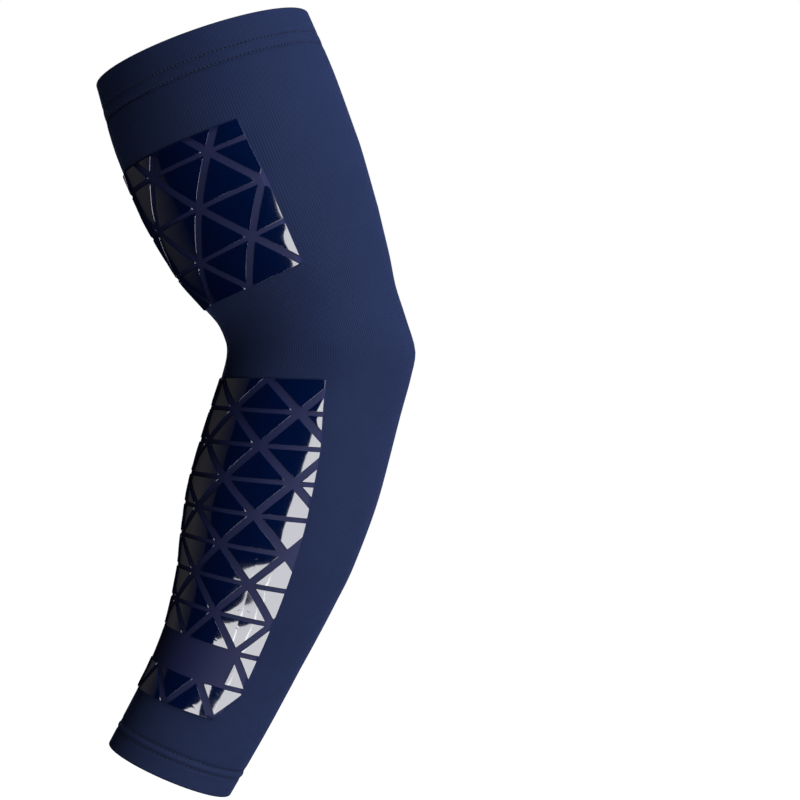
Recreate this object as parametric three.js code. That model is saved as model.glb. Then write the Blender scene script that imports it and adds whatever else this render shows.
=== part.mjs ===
// A compression arm sleeve, as it sits on a bent arm: a knitted tube with a doubled hem at each end,
// and two raised grip panels of triangular cells, one on the upper arm and one down the forearm.
// Millimetres, +Z up. The arm bends in the XZ plane and the elbow points along +X.
// The origin is the middle of the upper opening.
import * as THREE from 'three';

// Lengths and leans of the two limbs, each measured down the limb's own line
const upperArmLength = 168.5;
const upperArmLean = 21.5;
const forearmLength = 230.7;
const forearmLean = -20;

// Widths across the bend plane, outside the cloth
const upperWidth = 116;
const elbowWidth = 98.3;
const wristWidth = 68.4;

// Cloth
const fabricWall = 1.2;
const hemWall = 2.2;
const upperHemDepth = 20;
const wristHemDepth = 15;
const seamGap = 0.3;
const panelGap = 0.6;

// Grip panels: a thin film laid on the cloth, with raised cells on it
const filmThickness = 0.6;
const cellHeight = 1.1;
const ringChannel = 2.3;
const slantChannel = 3.8;
const filmMargin = 0.3;

// Places of the panels along the arm
const upperPanelBelowRim = 48.3;
const upperPanelAboveElbow = 37;
const forearmPanelBelowElbow = 15;
const forearmPanelAboveHem = 20;

// How far each panel reaches round the arm to either side of its inner line, at its widest, in degrees
const upperPanelReach = 95;
const forearmPanelReach = 111;

// Lattice of the cells: the side of a cell round the arm in degrees, and its height along the arm
const upperCellSide = 34.5;
const upperCellPitch = 24;
const forearmCellSide = 42.5;
const forearmCellPitch = 18;

// The bare band across the forearm panel: which row of cells it takes the place of, and how far it reaches
const bareRowFromBottom = 2;
const bareBandReach = 94;

// How finely curved faces are cut
const sidesRound = 32;
const ringStep = 24;
const flatness = 0.4;
const lengthSteps = 800;
const samePoint = 0.001;
const smallestCell = 5;

const limbs = {
  upper: { length: upperArmLength, lean: upperArmLean, topWidth: upperWidth, endWidth: elbowWidth },
  fore: { length: forearmLength, lean: forearmLean, topWidth: elbowWidth, endWidth: wristWidth },
};

// Sections of the sleeve, from the upper opening to the wrist. along is the share of the limb's length, taper
// goes from 0 at the limb's top width to 1 at its end width, offset moves the section outwards as a share of
// its width, turn is its tilt as a share of the limb's lean, and depth is front to back as a share of its width.
const sections = [
  { limb: 'upper', along: 0, taper: 0, offset: 0, turn: 0.92, depth: 0.92 },
  { limb: 'upper', along: 0.23, taper: -0.28, offset: -0.01, turn: 0.95, depth: 0.92 },
  { limb: 'upper', along: 0.43, taper: -0.18, offset: -0.01, turn: 0.95, depth: 0.92 },
  { limb: 'upper', along: 0.64, taper: 0.32, offset: 0, turn: 0.95, depth: 0.92 },
  { limb: 'upper', along: 0.775, taper: 0.89, offset: 0.015, turn: 0.74, depth: 0.92 },
  { limb: 'upper', along: 0.85, taper: 1.2, offset: 0.02, turn: 0.56, depth: 0.91 },
  { limb: 'upper', along: 0.925, taper: 1.19, offset: 0.017, turn: 0.33, depth: 0.89 },
  { limb: 'upper', along: 1, taper: 1, offset: 0, turn: 0, depth: 0.87 },
  { limb: 'fore', along: 0.06, taper: 0, offset: 0.023, turn: 0.05, depth: 0.86 },
  { limb: 'fore', along: 0.14, taper: 0.01, offset: 0.035, turn: 0.18, depth: 0.86 },
  { limb: 'fore', along: 0.31, taper: -0.02, offset: 0.065, turn: 0.27, depth: 0.85 },
  { limb: 'fore', along: 0.475, taper: 0.26, offset: 0.104, turn: 0.57, depth: 0.84 },
  { limb: 'fore', along: 0.55, taper: 0.48, offset: 0.121, turn: 0.68, depth: 0.83 },
  { limb: 'fore', along: 0.625, taper: 0.67, offset: 0.129, turn: 0.8, depth: 0.82 },
  { limb: 'fore', along: 0.695, taper: 0.82, offset: 0.126, turn: 0.95, depth: 0.81 },
  { limb: 'fore', along: 0.78, taper: 0.91, offset: 0.106, turn: 1.05, depth: 0.8 },
  { limb: 'fore', along: 0.855, taper: 0.945, offset: 0.075, turn: 1.1, depth: 0.8 },
  { limb: 'fore', along: 1, taper: 1, offset: 0, turn: 1.2, depth: 0.8 },
];

// The edge of each panel on one side: down is the share of the panel's length and reach the share of its
// widest reach round the arm. The other side is its mirror image.
const upperPanelEdge = [
  { down: 0, reach: 0.97 },
  { down: 0.45, reach: 1 },
  { down: 1, reach: 1 },
];
const forearmPanelEdge = [
  { down: 0, reach: 0.85 },
  { down: 0.2, reach: 0.93 },
  { down: 0.42, reach: 0.965 },
  { down: 0.92, reach: 1 },
  { down: 1, reach: 0.89 },
];

// Lattices: each row of nodes is moved round by rowShift of a cell's side, firstNode is where a node of the
// first row lies, in cell sides from the inner line, firstRow is that row's place in row heights below the top
// edge, and fan is the share by which the rows close up towards the panel's sides.
const upperLattice = { rowShift: -0.46, firstNode: 1.145, firstRow: 0.45, fan: 0.085 };
const forearmLattice = { rowShift: -0.41, firstNode: 1.41, firstRow: 0, fan: 0.015 };

const slope = (degrees) => new THREE.Vector3(Math.sin(degrees), 0, -Math.cos(degrees));
const elbow = slope(THREE.MathUtils.degToRad(upperArmLean)).multiplyScalar(upperArmLength);
limbs.upper.start = new THREE.Vector3();
limbs.upper.end = elbow;
limbs.fore.start = elbow;
limbs.fore.end = slope(THREE.MathUtils.degToRad(forearmLean)).multiplyScalar(forearmLength).add(elbow);

// One curve runs through the middles of the sections. The other holds their half widths: x and z are the half
// width's direction in the bend plane, and y is the half depth.
function sectionCurves() {
  const middles = [];
  const reaches = [];
  for (const section of sections) {
    const limb = limbs[section.limb];
    const width = THREE.MathUtils.lerp(limb.topWidth, limb.endWidth, section.taper);
    const tilt = THREE.MathUtils.degToRad(limb.lean * section.turn);
    const outward = new THREE.Vector3(Math.cos(tilt), 0, Math.sin(tilt));
    const middle = limb.start.clone().lerp(limb.end, section.along);
    middles.push(middle.addScaledVector(outward, section.offset * width));
    reaches.push(outward.multiplyScalar(width / 2).setY((section.depth * width) / 2));
  }
  const middle = new THREE.CatmullRomCurve3(middles);
  middle.arcLengthDivisions = lengthSteps;
  return { middle, reach: new THREE.CatmullRomCurve3(reaches) };
}

const { middle, reach } = sectionCurves();
const sleeveLength = middle.getLength();
const lengths = middle.getLengths();
const sectionPlaces = sections.map((_, i) => lengths[Math.round((lengthSteps * i) / (sections.length - 1))]);
const elbowPlace = sectionPlaces[sections.findIndex((section) => section.limb === 'fore') - 1];

// A point of the cloth's outer face: along is measured down the sleeve and angle round it, from 0 on the
// inner line through 90 degrees at the front. lift raises it off the cloth.
function onSleeve(along, angle, lift) {
  const place = middle.getUtoTmapping(THREE.MathUtils.clamp(along / sleeveLength, 0, 1));
  const centre = middle.getPoint(place);
  const half = reach.getPoint(place);
  const across = new THREE.Vector3(-half.x * Math.cos(angle), -half.y * Math.sin(angle), -half.z * Math.cos(angle));
  const halfWidth = Math.hypot(half.x, half.z);
  const inward = new THREE.Vector3(-half.x, 0, -half.z).divideScalar(halfWidth);
  const normal = inward.multiplyScalar(Math.cos(angle) / halfWidth);
  normal.y = -Math.sin(angle) / half.y;
  return centre.add(across).addScaledVector(normal.normalize(), lift);
}

// Where a band of cloth has its rings: at its two ends, at every section between them, and halfway where two
// sections lie far apart
function ringPlaces(from, to) {
  const places = [from, ...sectionPlaces.filter((place) => place > from + 1 && place < to - 1), to];
  return places.flatMap((place, i) => {
    const next = places[i + 1];
    return next - place > ringStep ? [place, (place + next) / 2] : [place];
  });
}

// A closed band of cloth round the arm, from one place along the sleeve to another
function clothTube(from, to, wall) {
  const places = ringPlaces(from, to);
  const inside = places.map((along) => [along, -wall]);
  const outside = places.map((along) => [along, 0]).reverse();
  const profile = [...inside, ...outside];
  const points = [];
  for (const [along, height] of profile) {
    for (let j = 0; j < sidesRound; j += 1) {
      points.push(...onSleeve(along, (2 * Math.PI * j) / sidesRound, height));
    }
  }
  const faces = [];
  for (let i = 0; i < profile.length; i += 1) {
    const next = (i + 1) % profile.length;
    for (let j = 0; j < sidesRound; j += 1) {
      const a = i * sidesRound + j;
      const b = i * sidesRound + ((j + 1) % sidesRound);
      const c = next * sidesRound + ((j + 1) % sidesRound);
      const d = next * sidesRound + j;
      faces.push(a, b, c, a, c, d);
    }
  }
  const geometry = new THREE.BufferGeometry();
  geometry.setAttribute('position', new THREE.Float32BufferAttribute(points, 3));
  geometry.setIndex(faces);
  return geometry;
}

// The part of a flat polygon that lies on the left of the line from a to b, moved inwards by an offset
function cutAway(polygon, a, b, offset) {
  const along = b.clone().sub(a).normalize();
  const side = (p) => {
    const distance = along.cross(p.clone().sub(a)) - offset;
    return Math.abs(distance) < samePoint ? 0 : distance;
  };
  const kept = [];
  polygon.forEach((p, i) => {
    const q = polygon[(i + 1) % polygon.length];
    const here = side(p);
    const there = side(q);
    if (here >= 0) kept.push(p);
    if (here * there < 0) kept.push(p.clone().lerp(q, here / (here - there)));
  });
  return kept;
}

// A panel's place and lattice, as it lies flat: x runs round the arm from the inner line and y down from the
// panel's top edge, both in millimetres
function gripPanel({ name, from, to, reachAngle, cellSide, cellPitch, edge, lattice, bareRowFromBottom }) {
  const half = reach.getPoint(middle.getUtoTmapping((from + to) / 2 / sleeveLength));
  const radius = (Math.hypot(half.x, half.z) + half.y) / 2;
  const roundTheArm = (degrees) => THREE.MathUtils.degToRad(degrees) * radius;
  const length = to - from;
  const rows = Math.max(1, Math.round(length / cellPitch - lattice.firstRow));
  return {
    name,
    from,
    radius,
    length,
    rows,
    rowHeight: length / (rows + lattice.firstRow),
    side: roundTheArm(cellSide),
    widest: roundTheArm(reachAngle),
    bareReach: roundTheArm(bareBandReach),
    bareRow: bareRowFromBottom ? rows - bareRowFromBottom : null,
    edge,
    lattice,
  };
}

// The flat outline of a panel, down one side and up the other
function panelOutline(panel) {
  const side = panel.edge.map((row) => new THREE.Vector2(row.reach * panel.widest, row.down * panel.length));
  const mirrored = side.map((p) => new THREE.Vector2(-p.x, p.y)).reverse();
  return [...side, ...mirrored];
}

// The two lattice triangles that lie between one row of nodes and the next
function latticePair(panel, row, k) {
  const { rowShift, firstNode, firstRow } = panel.lattice;
  const node = (down, round) => new THREE.Vector2(
    (firstNode + round + down * rowShift) * panel.side,
    (firstRow + down) * panel.rowHeight,
  );
  const rising = [node(row, k), node(row + 1, k + 1), node(row + 1, k)];
  const hanging = [node(row, k), node(row, k + 1), node(row + 1, k + 1)];
  return [rising, hanging];
}

function flatArea(polygon) {
  return polygon.length > 2 ? Math.abs(THREE.ShapeUtils.area(polygon)) : 0;
}

// What is left of a flat polygon inside an outline, moved inwards by a margin
function cutToOutline(polygon, outline, margin) {
  return outline.reduce((cut, corner, i) => cutAway(cut, corner, outline[(i + 1) % outline.length], margin), polygon);
}

// The raised cells of one lattice triangle: one, or none, or what the bare band leaves of it
function raisedCells(panel, outline, corners, row) {
  let cell = corners;
  corners.forEach((corner, i) => {
    const next = corners[(i + 1) % corners.length];
    const channel = corner.y === next.y ? ringChannel : slantChannel;
    cell = cutAway(cell, corner, next, channel / 2);
  });
  cell = cutToOutline(cell, outline, filmMargin);
  const { bareReach, length } = panel;
  const beside = [bareReach, -bareReach].map((x) => {
    const [from, to] = x > 0 ? [length, 0] : [0, length];
    return cutAway(cell, new THREE.Vector2(x, from), new THREE.Vector2(x, to), 0);
  });
  const cells = row === panel.bareRow ? beside : [cell];
  return cells.filter((left) => flatArea(left) > smallestCell);
}

// A grip panel as it lies flat: a film with all its cells raised on it, as points and triangles
function flatPanel(panel) {
  const outline = panelOutline(panel);
  const under = panelGap;
  const film = under + filmThickness;
  const top = film + cellHeight;
  const points = [];
  const known = new Map();
  const faces = [];
  const borders = new Map();
  const place = (p, height) => {
    const key = [p.x, p.y, height].map((length) => Math.round(length / samePoint)).join();
    if (!known.has(key)) known.set(key, points.push(new THREE.Vector3(p.x, p.y, height)) - 1);
    return known.get(key);
  };
  const addFace = (a, b, c, height, facesDown) => {
    const turned = b.clone().sub(a).cross(c.clone().sub(a)) < 0 !== facesDown;
    const corners = turned ? [a, c, b] : [a, b, c];
    faces.push(corners.map((p) => place(p, height)));
  };
  const addWall = (a, b, low, high) => {
    faces.push([place(a, low), place(b, low), place(b, high)], [place(a, low), place(b, high), place(a, high)]);
  };
  const addTile = (tile, cells) => {
    const corners = [...tile, ...cells.flat()];
    for (const [a, b, c] of THREE.ShapeUtils.triangulateShape(tile, cells)) {
      addFace(corners[a], corners[b], corners[c], film, false);
    }
    for (const [a, b, c] of THREE.ShapeUtils.triangulateShape(tile, [])) {
      addFace(tile[a], tile[b], tile[c], under, true);
    }
    for (const cell of cells) {
      cell.forEach((p, i) => addWall(p, cell[(i + 1) % cell.length], film, top));
      for (const [a, b, c] of THREE.ShapeUtils.triangulateShape(cell, [])) {
        addFace(cell[a], cell[b], cell[c], top, false);
      }
    }
    tile.forEach((p, i) => {
      const q = tile[(i + 1) % tile.length];
      const [here, there] = [place(p, film), place(q, film)];
      if (!borders.delete(`${there} ${here}`)) borders.set(`${here} ${there}`, [p, q]);
    });
  };
  const topRow = panel.lattice.firstRow > 0 ? -1 : 0;
  const count = Math.ceil(panel.widest / panel.side) + panel.rows + 1;
  for (let row = topRow; row < panel.rows; row += 1) {
    for (let k = -count; k <= count; k += 1) {
      for (const corners of latticePair(panel, row, k)) {
        const tile = cutToOutline(corners, outline, 0);
        if (flatArea(tile) > samePoint) addTile(tile, raisedCells(panel, outline, corners, row));
      }
    }
  }
  for (const [p, q] of borders.values()) addWall(p, q, under, film);
  return { points, faces };
}

// Splits every edge whose middle would leave the arm's curve once it is wrapped, round by round
function splitBentEdges(points, faces, wrap) {
  const wrapped = [];
  const onArm = (i) => {
    wrapped[i] ??= wrap(points[i]);
    return wrapped[i];
  };
  const bent = (a, b) => {
    const chord = onArm(a).clone().lerp(onArm(b), 0.5);
    return chord.distanceTo(wrap(points[a].clone().lerp(points[b], 0.5))) > flatness;
  };
  let current = faces;
  let split = true;
  while (split) {
    split = false;
    const middles = new Map();
    const halfway = (a, b) => {
      if (!bent(Math.min(a, b), Math.max(a, b))) return null;
      split = true;
      const key = a < b ? `${a} ${b}` : `${b} ${a}`;
      if (!middles.has(key)) {
        middles.set(key, points.length);
        points.push(points[a].clone().lerp(points[b], 0.5));
      }
      return middles.get(key);
    };
    const next = [];
    for (const face of current) {
      const cuts = face.map((corner, i) => halfway(corner, face[(i + 1) % 3]));
      const whole = cuts.filter((cut) => cut === null).length;
      // the face is turned so that its uncut edge comes last, or its only cut edge first
      const first = whole === 1 ? (cuts.indexOf(null) + 1) % 3 : Math.max(0, cuts.findIndex((cut) => cut !== null));
      const [a, b, c] = [0, 1, 2].map((i) => face[(first + i) % 3]);
      const [ab, bc, ca] = [0, 1, 2].map((i) => cuts[(first + i) % 3]);
      if (whole === 3) next.push([a, b, c]);
      if (whole === 2) next.push([a, ab, c], [ab, b, c]);
      if (whole === 1) next.push([ab, b, bc], [a, ab, bc], [a, bc, c]);
      if (whole === 0) next.push([a, ab, ca], [ab, b, bc], [ca, bc, c], [ab, bc, ca]);
    }
    current = next;
  }
  return current;
}

// A grip panel, wrapped round the arm. The flat drawing is left-handed on the arm, so its faces are turned.
function wrappedPanel(panel) {
  const { points, faces } = flatPanel(panel);
  const wrap = ({ x, y, z }) => {
    const closing = 1 - panel.lattice.fan * (x / panel.widest) ** 2;
    return onSleeve(panel.from + y * closing, x / panel.radius, z);
  };
  const fine = splitBentEdges(points, faces, wrap);
  const geometry = new THREE.BufferGeometry().setFromPoints(points.map(wrap));
  geometry.setIndex(fine.flatMap(([a, b, c]) => [a, c, b]));
  return geometry;
}

function addPiece(group, name, geometry, material) {
  const mesh = new THREE.Mesh(geometry, material);
  mesh.name = name;
  group.add(mesh);
}

const knit = new THREE.MeshStandardMaterial({ color: 0x222a52, roughness: 0.9, metalness: 0 });
const hemKnit = new THREE.MeshStandardMaterial({ color: 0x1f274c, roughness: 0.9, metalness: 0 });
const glossFilm = new THREE.MeshStandardMaterial({ color: 0x040c26, roughness: 0.12, metalness: 0 });

const upperPanel = gripPanel({
  name: 'upper_grip_panel',
  from: upperPanelBelowRim,
  to: elbowPlace - upperPanelAboveElbow,
  reachAngle: upperPanelReach,
  cellSide: upperCellSide,
  cellPitch: upperCellPitch,
  edge: upperPanelEdge,
  lattice: upperLattice,
});
const forearmPanel = gripPanel({
  name: 'forearm_grip_panel',
  from: elbowPlace + forearmPanelBelowElbow,
  to: sleeveLength - wristHemDepth - forearmPanelAboveHem,
  reachAngle: forearmPanelReach,
  cellSide: forearmCellSide,
  cellPitch: forearmCellPitch,
  edge: forearmPanelEdge,
  lattice: forearmLattice,
  bareRowFromBottom,
});

const sleeve = new THREE.Group();
const clothPieces = [
  { name: 'upper_hem', from: 0, to: upperHemDepth, wall: hemWall, material: hemKnit },
  { name: 'upper_arm_tube', from: upperHemDepth + seamGap, to: elbowPlace, wall: fabricWall, material: knit },
  {
    name: 'forearm_tube',
    from: elbowPlace + seamGap,
    to: sleeveLength - wristHemDepth - seamGap,
    wall: fabricWall,
    material: knit,
  },
  { name: 'wrist_hem', from: sleeveLength - wristHemDepth, to: sleeveLength, wall: hemWall, material: hemKnit },
];
for (const { name, from, to, wall, material } of clothPieces) {
  addPiece(sleeve, name, clothTube(from, to, wall), material);
}
for (const panel of [upperPanel, forearmPanel]) {
  addPiece(sleeve, panel.name, wrappedPanel(panel), glossFilm);
}

export default sleeve;
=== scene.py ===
"""The looks of a bent compression arm sleeve: a knitted tube, two sewn hems and two glossy grip panels.

Every length is in metres. The origin is the middle of the upper opening, +Z points up the arm and the elbow
points along +X. Places on the sleeve are given as three numbers: how far down the sleeve's middle line they
lie, the angle round it from the inner line through 90 degrees at the front, and the height above the cloth.
"""

import math
from typing import NamedTuple

import bmesh
import bpy
import numpy as np
from bpy.props import FloatProperty, FloatVectorProperty, PointerProperty
from mathutils import Matrix, Vector


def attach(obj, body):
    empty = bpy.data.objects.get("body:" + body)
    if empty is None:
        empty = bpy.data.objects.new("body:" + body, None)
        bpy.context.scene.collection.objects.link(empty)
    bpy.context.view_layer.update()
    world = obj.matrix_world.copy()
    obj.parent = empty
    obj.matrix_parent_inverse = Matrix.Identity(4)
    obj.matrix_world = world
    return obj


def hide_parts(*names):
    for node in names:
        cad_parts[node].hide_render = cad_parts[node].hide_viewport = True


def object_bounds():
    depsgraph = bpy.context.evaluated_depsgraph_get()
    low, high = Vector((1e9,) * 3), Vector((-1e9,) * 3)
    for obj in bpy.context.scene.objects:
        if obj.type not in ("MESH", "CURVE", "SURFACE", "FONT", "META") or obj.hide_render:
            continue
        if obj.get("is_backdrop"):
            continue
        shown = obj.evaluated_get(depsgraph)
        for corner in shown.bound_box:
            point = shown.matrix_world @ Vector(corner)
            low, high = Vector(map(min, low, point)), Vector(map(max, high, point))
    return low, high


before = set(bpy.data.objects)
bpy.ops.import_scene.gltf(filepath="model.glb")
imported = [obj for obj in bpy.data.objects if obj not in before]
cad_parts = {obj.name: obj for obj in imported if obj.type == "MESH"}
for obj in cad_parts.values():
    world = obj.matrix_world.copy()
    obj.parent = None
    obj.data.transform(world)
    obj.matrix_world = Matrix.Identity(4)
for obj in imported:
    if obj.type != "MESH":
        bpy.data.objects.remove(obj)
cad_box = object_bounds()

bl_info = {
    "name": "Arm Sleeve",
    "version": (1, 0, 0),
    "blender": (4, 5, 0),
    "location": "3D View > Sidebar > Arm Sleeve",
    "description": "Builds a knitted compression arm sleeve with two glossy grip panels",
    "category": "Add Mesh",
}

MILLIMETRE = 0.001
SAME_PLACE = 0.01 * MILLIMETRE
BODY = "root"
KNIT_MAP = "knit"


# Settings that a user would change

def length_setting(name, description, millimetres):
    return FloatProperty(
        name=name,
        description=description,
        default=millimetres * MILLIMETRE,
        min=0.0,
        precision=5,
        subtype="DISTANCE",
        unit="LENGTH",
    )


def colour_setting(name, description, colour):
    return FloatVectorProperty(
        name=name,
        description=description,
        default=colour,
        min=0.0,
        max=1.0,
        size=3,
        subtype="COLOR",
    )


def angle_setting(name, description, degrees):
    return FloatProperty(
        name=name,
        description=description,
        default=math.radians(degrees),
        subtype="ANGLE",
        unit="ROTATION",
    )


def amount_setting(name, description, amount):
    return FloatProperty(name=name, description=description, default=amount, min=0.0)


def power_setting(name, light, watts):
    return amount_setting(name, f"Radiant power of the {light}, in watts", watts)


class SleeveSizes(bpy.types.PropertyGroup):
    """The sleeve's own lengths and widths, as in the solid model"""

    upper_arm_length: length_setting("Upper Arm Length", "From the upper opening to the elbow", 168.5)
    upper_arm_lean: angle_setting("Upper Arm Lean", "How far the upper arm leans from upright", 21.5)
    forearm_length: length_setting("Forearm Length", "From the elbow to the wrist opening", 230.7)
    forearm_lean: angle_setting("Forearm Lean", "How far the forearm leans from upright", -20.0)
    upper_width: length_setting("Upper Width", "Width of the upper opening", 116.0)
    elbow_width: length_setting("Elbow Width", "Width at the elbow", 98.3)
    wrist_width: length_setting("Wrist Width", "Width of the wrist opening", 68.4)
    cloth_wall: length_setting("Cloth Thickness", "Thickness of the knit", 1.2)
    hem_wall: length_setting("Hem Thickness", "Thickness of the doubled knit of a hem", 2.2)
    upper_hem_depth: length_setting("Upper Hem Depth", "How deep the upper hem is turned in", 20.0)
    wrist_hem_depth: length_setting("Wrist Hem Depth", "How deep the wrist hem is turned in", 15.0)
    cut_width: length_setting("Cut Width", "Width of the flat cut at its widest", 320.0)
    cut_length: length_setting("Cut Length", "Length of the flat cut", 400.0)


class StitchSizes(bpy.types.PropertyGroup):
    """The sewing of the hems"""

    pitch: length_setting("Stitch Pitch", "From one needle hole to the next", 2.1)
    thread: length_setting("Thread", "Thickness of the sewing thread", 0.34)
    needle_hole: length_setting("Needle Hole", "Width of a needle hole in the stretched knit", 0.85)
    groove_depth: length_setting("Groove Depth", "How far a row of stitches pulls the knit in", 0.3)
    groove_width: length_setting("Groove Width", "Half width of the groove along a row of stitches", 0.75)


class PanelSizes(bpy.types.PropertyGroup):
    """The film and the raised cells of the grip panels"""

    film_height: length_setting("Film Height", "Height of the film's face above the cloth", 0.4)
    film_thickness: length_setting("Film Thickness", "Thickness of the film", 0.3)
    cell_height: length_setting("Cell Height", "Height of a raised cell's wall and shoulder", 0.5)
    cell_crown: length_setting("Cell Crown", "How much a cell's middle stands above its shoulder", 0.22)
    shoulder: length_setting("Cell Shoulder", "How far in from its edge a cell has its full height", 0.13)
    level_channel: length_setting("Level Channel", "Width of the channels that run round the arm", 2.3)
    slant_channel: length_setting("Slanted Channel", "Width of the channels that run aslant", 3.6)
    film_margin: length_setting("Film Margin", "How far the cells stop short of the film's edge", 0.3)


class ClothColours(bpy.types.PropertyGroup):
    """The colours of knit, thread and panels, with the painted shade between the knit's wales and inside the
    needle holes
    """

    knit: colour_setting("Knit", "Colour of the knit", (0.02, 0.033, 0.096))
    # Darker end of the knit's colour: painted shade in the grooves between the wales, and random darker
    # patches
    knit_patches_and_painted_shade: colour_setting("Knit Shade", "Colour between the knit's stitches", (0.0112, 0.0192, 0.06))
    thread: colour_setting("Thread", "Colour of the sewing thread", (0.011, 0.016, 0.058))
    # Near-black painted shade for the inside of a needle hole
    needle_hole: colour_setting("Needle Hole", "Colour inside a needle hole", (0.0012, 0.0018, 0.006))
    film: colour_setting("Film", "Colour of the matte film", (0.019, 0.024, 0.09))
    gloss: colour_setting("Gloss", "Colour of the glossy cells", (0.0005, 0.0085, 0.056))
    gloss_shade: colour_setting("Gloss Shade", "Darker colour of the glossy cells", (0.0003, 0.0052, 0.037))


class StageSettings(bpy.types.PropertyGroup):
    """Camera and lights"""

    lens: amount_setting("Lens", "Focal length in millimetres", 77.1)
    turn: angle_setting("Turn", "How far the camera is turned to the right", 4.72)
    main: power_setting("Main Light", "soft light on the cloth", 25.0)
    fill: power_setting("Fill Light", "weaker light in front", 11.5)
    back: power_setting("Back Light", "soft light behind the sleeve", 14.0)
    tall_card: power_setting("Tall Card", "tall card that shows in the gloss", 14.0)
    low_card: power_setting("Low Card", "card low in front", 0.45)
    front_strip: power_setting("Front Strip", "small strip in front of the wrist", 0.061)
    left_card: power_setting("Left Card", "dim card on the left", 0.1)
    ambience: amount_setting("Ambience", "Strength of the light that comes from all around", 0.05)


# The sleeve's form

class Section(NamedTuple):
    """One cross-section of the sleeve.

    along is the share of the limb's length, taper goes from 0 at the limb's top width to 1 at its end width,
    offset moves the section outwards as a share of its width, turn is its tilt as a share of the limb's lean
    and depth is front to back as a share of its width.
    """

    limb: str
    along: float
    taper: float
    offset: float
    turn: float
    depth: float


SECTIONS = (
    Section("upper", 0.0, 0.0, 0.0, 0.92, 0.92),
    Section("upper", 0.23, -0.28, -0.01, 0.95, 0.92),
    Section("upper", 0.43, -0.18, -0.01, 0.95, 0.92),
    Section("upper", 0.64, 0.32, 0.0, 0.95, 0.92),
    Section("upper", 0.775, 0.89, 0.015, 0.74, 0.92),
    Section("upper", 0.85, 1.2, 0.02, 0.56, 0.91),
    Section("upper", 0.925, 1.19, 0.017, 0.33, 0.89),
    Section("upper", 1.0, 1.0, 0.0, 0.0, 0.87),
    Section("fore", 0.06, 0.0, 0.023, 0.05, 0.86),
    Section("fore", 0.14, 0.01, 0.035, 0.18, 0.86),
    Section("fore", 0.31, -0.02, 0.065, 0.27, 0.85),
    Section("fore", 0.475, 0.26, 0.104, 0.57, 0.84),
    Section("fore", 0.55, 0.48, 0.121, 0.68, 0.83),
    Section("fore", 0.625, 0.67, 0.129, 0.8, 0.82),
    Section("fore", 0.695, 0.82, 0.126, 0.95, 0.81),
    Section("fore", 0.78, 0.91, 0.106, 1.05, 0.8),
    Section("fore", 0.855, 0.945, 0.075, 1.1, 0.8),
    Section("fore", 1.0, 1.0, 0.0, 1.2, 0.8),
)
CURVE_STEPS = 3200


def smooth_curve(knots, steps):
    """Points along a centripetal Catmull-Rom curve through the knots, evenly spaced in its own parameter"""
    ends = [2 * knots[0] - knots[1], *knots, 2 * knots[-1] - knots[-2]]
    points = []
    for step in range(steps + 1):
        place = step / steps * (len(knots) - 1)
        i = min(int(place), len(knots) - 2)
        t = place - i
        a, b, c, d = ends[i : i + 4]
        ab, bc, cd = (math.sqrt(np.linalg.norm(q - p)) for p, q in ((a, b), (b, c), (c, d)))
        leave = ((b - a) / ab - (c - a) / (ab + bc) + (c - b) / bc) * bc
        arrive = ((c - b) / bc - (d - b) / (bc + cd) + (d - c) / cd) * bc
        square = 3 * (c - b) - 2 * leave - arrive
        cube = 2 * (b - c) + leave + arrive
        points.append(b + leave * t + square * t**2 + cube * t**3)
    return np.array(points)


class SleeveForm:
    """The outer face of the cloth, as a place for every distance down the sleeve and angle round it"""

    def __init__(self, sizes):
        limbs = {
            "upper": (sizes.upper_arm_length, sizes.upper_arm_lean, sizes.upper_width, sizes.elbow_width),
            "fore": (sizes.forearm_length, sizes.forearm_lean, sizes.elbow_width, sizes.wrist_width),
        }
        start = np.zeros(3)
        starts = {}
        directions = {}
        for limb, (length, lean, _, _) in limbs.items():
            starts[limb] = start
            directions[limb] = length * np.array((math.sin(lean), 0.0, -math.cos(lean)))
            start = start + directions[limb]
        middles = []
        halves = []
        for section in SECTIONS:
            _, lean, top_width, end_width = limbs[section.limb]
            width = top_width + (end_width - top_width) * section.taper
            tilt = lean * section.turn
            outward = np.array((math.cos(tilt), 0.0, math.sin(tilt)))
            middle = starts[section.limb] + directions[section.limb] * section.along
            middles.append(middle + outward * section.offset * width)
            halves.append(outward * width / 2 + np.array((0.0, section.depth * width / 2, 0.0)))
        self.middles = smooth_curve(middles, CURVE_STEPS)
        self.halves = smooth_curve(halves, CURVE_STEPS)
        steps = np.linalg.norm(np.diff(self.middles, axis=0), axis=1)
        self.lengths = np.concatenate(((0.0,), np.cumsum(steps)))
        self.length = self.lengths[-1]
        elbow_knot = sum(section.limb == "upper" for section in SECTIONS) - 1
        self.elbow = self.lengths[round(CURVE_STEPS * elbow_knot / (len(SECTIONS) - 1))]

    def section(self, along):
        """Middle and half widths of the sections at some distances down the sleeve"""
        middle = np.stack([np.interp(along, self.lengths, self.middles[:, i]) for i in range(3)], axis=-1)
        half = np.stack([np.interp(along, self.lengths, self.halves[:, i]) for i in range(3)], axis=-1)
        return middle, half

    def points(self, along, angle, height):
        """Where points lie, given how far down the sleeve, how far round it and how high above the cloth"""
        middle, half = self.section(along)
        width = np.hypot(half[..., 0], half[..., 2])
        inward = -half / width[..., None]
        inward[..., 1] = 0.0
        cos, sin = np.cos(angle), np.sin(angle)
        normal = inward * (cos / width)[..., None]
        normal[..., 1] = -sin / half[..., 1]
        normal /= np.linalg.norm(normal, axis=-1, keepdims=True)
        face = middle + inward * (width * cos)[..., None]
        face[..., 1] -= half[..., 1] * sin
        return face + normal * height[..., None]

    def radius(self, along):
        """Mean of the half width and the half depth of one section"""
        _, half = self.section(np.array(along))
        return float((math.hypot(half[0], half[2]) + half[1]) / 2)


def sleeve_form():
    return SleeveForm(bpy.context.scene.sleeve_sizes)


# Mesh helpers

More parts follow.
